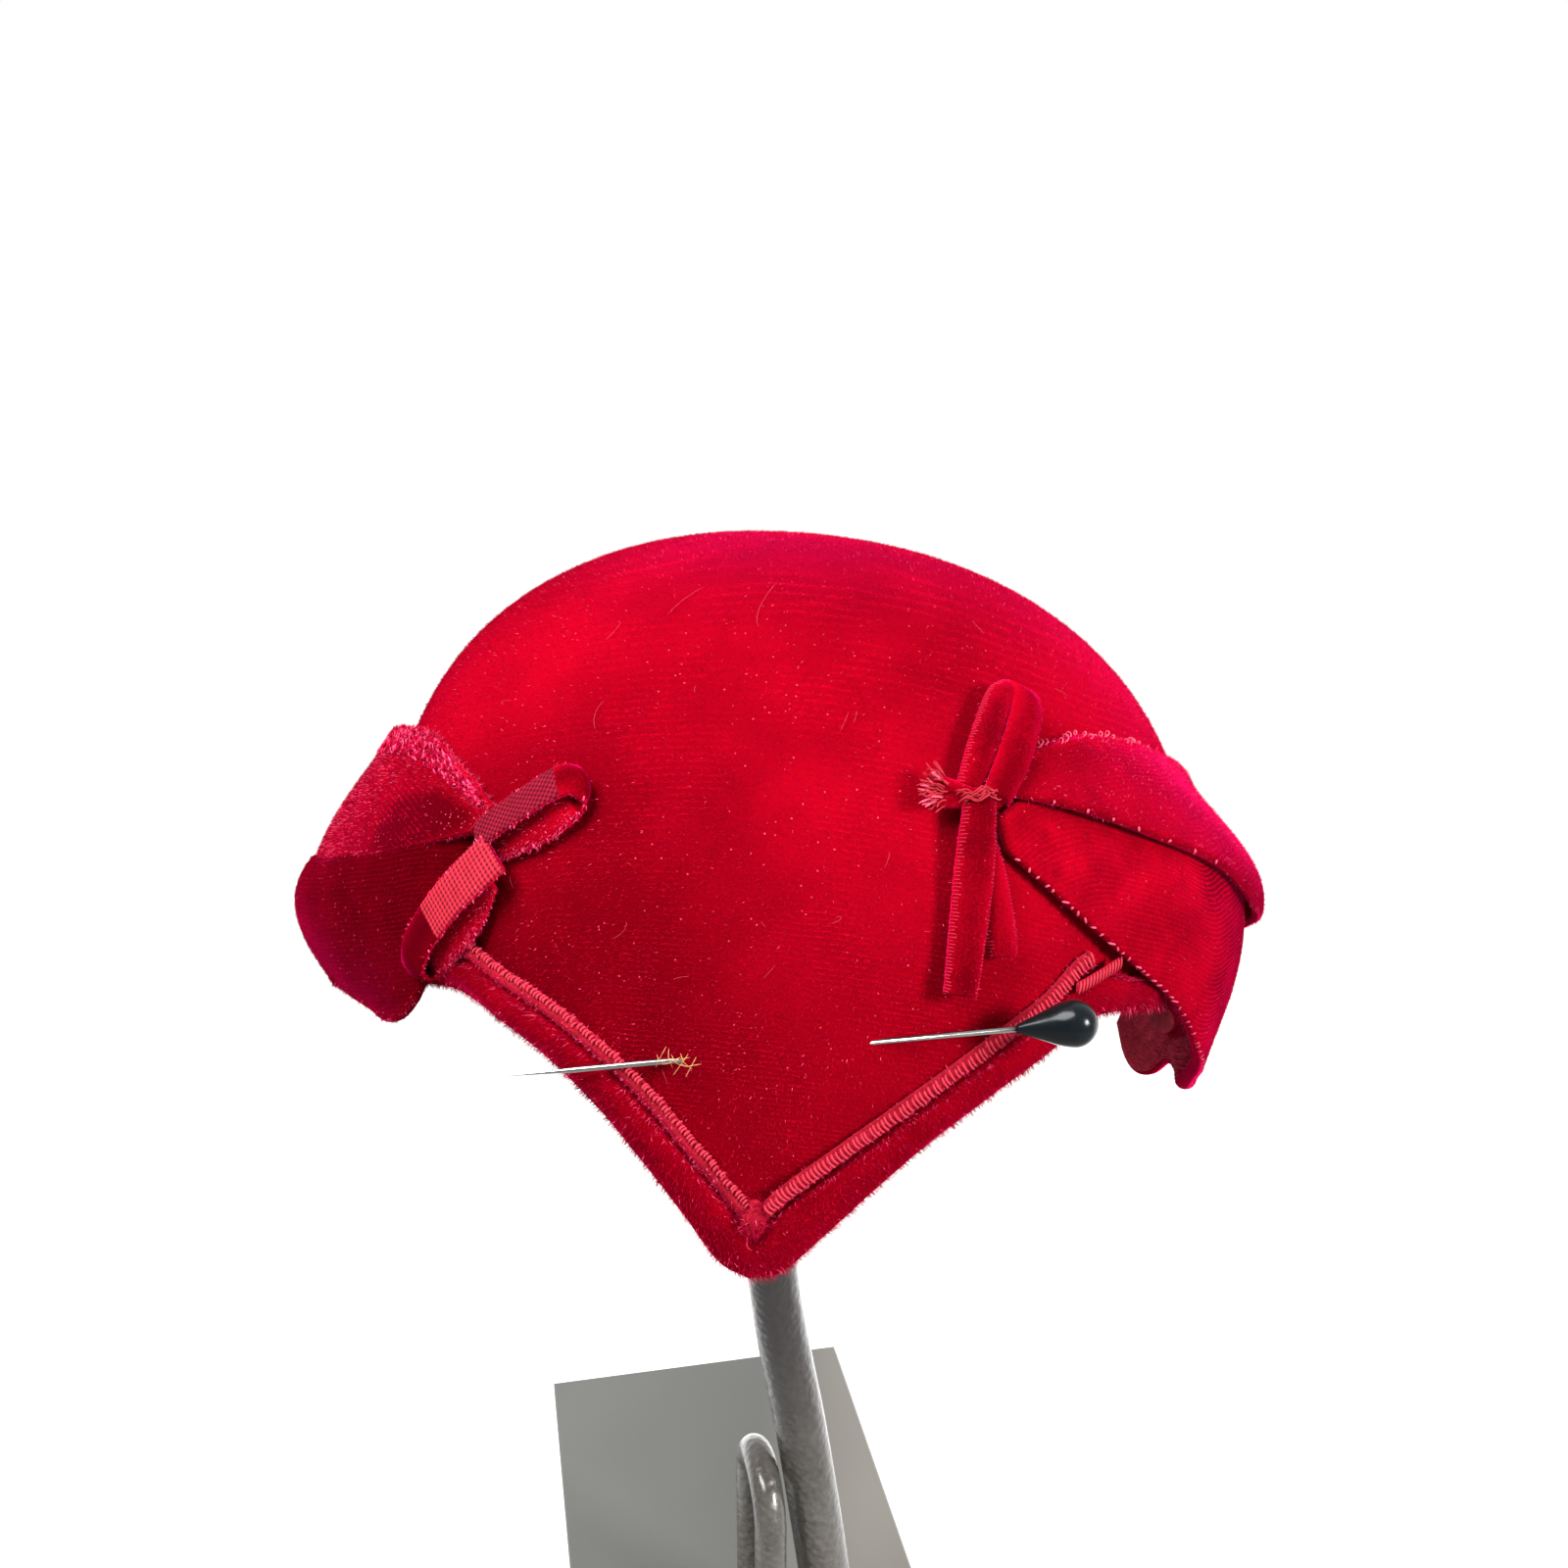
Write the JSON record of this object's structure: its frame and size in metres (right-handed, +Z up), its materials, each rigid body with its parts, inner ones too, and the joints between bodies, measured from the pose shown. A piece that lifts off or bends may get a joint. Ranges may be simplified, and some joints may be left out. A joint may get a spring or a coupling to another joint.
{
  "type": "toque on a display stand",
  "caption": "Red velvet toque with a pointed front, pleated side wings, ribbon bows and a hatpin, held up by a plain metal display stand with a bent stem",
  "frame": {"origin": "middle of the stand plate's underside", "axes": "+Z up, the hat's front faces -Y, +X is to the right as seen from the front"},
  "size_m": [0.2021, 0.2259, 0.3077],
  "materials": {
    "velvet": "red velvet pile",
    "ribbon": "red velvet ribbon with a woven back",
    "piping": "narrow ribbed ribbon",
    "pin_steel": "polished",
    "bead": "black gloss",
    "plate_paint": "satin grey",
    "stem_metal": "hammered dark grey"
  },
  "bodies": {
    "root": {"crown": "velvet", "edge_band": "velvet", "piping_left": "piping", "piping_right": "piping", "piping_knot": "piping", "piping_tail": "piping", "wing_left_upper": "velvet", "wing_left_lower": "velvet", "wing_right_upper": "velvet", "wing_right_lower": "velvet", "bow_left_upper_loop": "ribbon", "bow_left_lower_loop": "ribbon", "bow_right_loop": "ribbon", "bow_right_long_tail": "ribbon", "bow_right_short_tail": "ribbon", "bow_right_stub": "ribbon", "hatpin_shaft": "pin_steel", "hatpin_bead": "bead", "stand_base": "plate_paint", "stand_stem": "stem_metal", "stand_curl": "stem_metal"}
  },
  "joints": []
}
